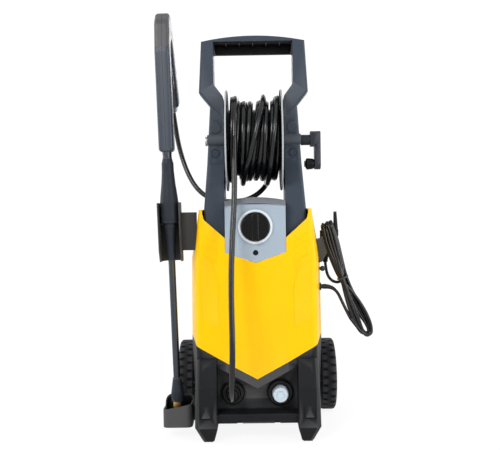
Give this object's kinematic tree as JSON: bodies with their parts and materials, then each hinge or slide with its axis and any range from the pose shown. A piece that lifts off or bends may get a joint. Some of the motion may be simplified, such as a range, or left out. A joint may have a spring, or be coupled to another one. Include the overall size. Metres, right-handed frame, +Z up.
{
  "type": "pressure washer",
  "caption": "Upright electric pressure washer: yellow body, dial panel, hose reel in a grey handle frame, wheels, gun and lance in side holders, tied mains cord.",
  "frame": {"origin": "centre of the footprint of the machine's box, on the floor, cord and hose left out", "axes": "+Z up, -Y the machine's front with the dial, +X the side with the crank and the mains cord"},
  "size_m": [0.4842, 0.4258, 0.9415],
  "materials": {
    "shell_yellow": "satin",
    "shell_dark": "satin",
    "frame_grey": "satin",
    "panel_silver": "satin",
    "black_plastic": "satin",
    "white_plastic": "satin",
    "yellow_small": "satin",
    "reel_plastic": "satin",
    "hose_rubber": "satin",
    "tyre": "matte",
    "steel": "brushed",
    "brass": "satin",
    "aluminium": "cast"
  },
  "bodies": {
    "root": {"chassis": "shell_dark", "front_cover": "shell_yellow", "rear_cover": "shell_dark", "cover_screws": "steel", "control_panel": "panel_silver", "top_cap": "panel_silver", "dial_ring": "white_plastic", "switch_body": "black_plastic", "indicator_lens": "black_plastic", "right_upright": "frame_grey", "left_upright": "frame_grey", "upright_caps": "frame_grey", "handle_frame": "frame_grey", "handle_grip": "black_plastic", "handle_screws": "steel", "foot_pads": "tyre", "wheel_axle": "steel", "motor_stator": "aluminium", "pump_body": "aluminium", "water_pipes": "brass", "capacitor": "aluminium", "outlet_collar": "black_plastic", "inlet_collar": "black_plastic", "outlet_fitting": "brass", "hose_nut": "black_plastic", "inlet_adaptor": "white_plastic", "lance_clip": "shell_dark", "clip_bracket": "shell_dark", "nozzle_cup": "shell_dark", "cord_hook": "shell_dark", "storage_peg": "shell_dark", "cord_gland": "hose_rubber", "hose_front": "hose_rubber", "hose_rear": "hose_rubber", "cord_lead": "hose_rubber", "cord_hank": "hose_rubber", "cord_tie": "white_plastic", "plug": "black_plastic"},
    "reel": {"reel_drum": "reel_plastic", "reel_flange_left": "reel_plastic", "reel_flange_right": "reel_plastic", "reel_axle": "steel", "crank_arm": "black_plastic", "hose_winding": "hose_rubber"},
    "crank_knob": {"crank_grip": "black_plastic"},
    "wheel_left": {"left_wheel": "black_plastic", "left_tyre": "tyre"},
    "wheel_right": {"right_wheel": "black_plastic", "right_tyre": "tyre"},
    "selector": {"selector_knob": "black_plastic"},
    "rotor": {"motor_rotor": "aluminium"},
    "gun": {"gun_shell_left": "frame_grey", "gun_shell_right": "frame_grey", "gun_valve": "steel", "lance_sleeve": "frame_grey", "lance_tube": "steel", "nozzle_tip": "brass"},
    "trigger_lever": {"trigger": "black_plastic"},
    "latch": {"safety_latch": "yellow_small"},
    "nozzle": {"nozzle_sleeve": "frame_grey"}
  },
  "joints": [
    {"name": "reel_spin", "type": "hinge", "parent": "root", "child": "reel", "pos_m": [0.01379, -0.056, 0.656], "axis": [1, 0, 0], "continuous": true},
    {"name": "crank_grip_spin", "type": "hinge", "parent": "reel", "child": "crank_knob", "pos_m": [0.14079, -0.056, 0.6015], "axis": [1, 0, 0], "continuous": true},
    {"name": "left_wheel_spin", "type": "hinge", "parent": "root", "child": "wheel_left", "pos_m": [-0.15796, 0.084, 0.087], "axis": [-1, 0, 0], "continuous": true},
    {"name": "right_wheel_spin", "type": "hinge", "parent": "root", "child": "wheel_right", "pos_m": [0.18554, 0.084, 0.087], "axis": [-1, 0, 0], "continuous": true},
    {"name": "selector_turn", "type": "hinge", "parent": "root", "child": "selector", "pos_m": [0.01379, -0.155, 0.462], "axis": [0, 1, 0], "range_deg": [0, 90]},
    {"name": "motor_spin", "type": "hinge", "parent": "root", "child": "rotor", "pos_m": [0.01379, -0.006, 0.266], "axis": [0, 0, 1], "continuous": true},
    {"name": "gun_lift", "type": "slide", "parent": "root", "child": "gun", "axis": [-0.0265, 0, 0.9996], "range_m": [0, 0.1]},
    {"name": "trigger_pull", "type": "hinge", "parent": "gun", "child": "trigger_lever", "pos_m": [-0.18598, -0.074, 0.89568], "axis": [0.9996, 0, 0.0265], "range_deg": [0, 4.5], "stiffness_Nm_per_rad": 1.5, "springref_deg": -5.73},
    {"name": "latch_turn", "type": "hinge", "parent": "trigger_lever", "child": "latch", "pos_m": [-0.18561, -0.0805, 0.88169], "axis": [-0.9996, 0, -0.0265], "range_deg": [0, 14]},
    {"name": "nozzle_twist", "type": "hinge", "parent": "gun", "child": "nozzle", "pos_m": [-0.16487, -0.108, 0.09996], "axis": [-0.0265, 0, 0.9996], "range_deg": [-90, 90]}
  ]
}
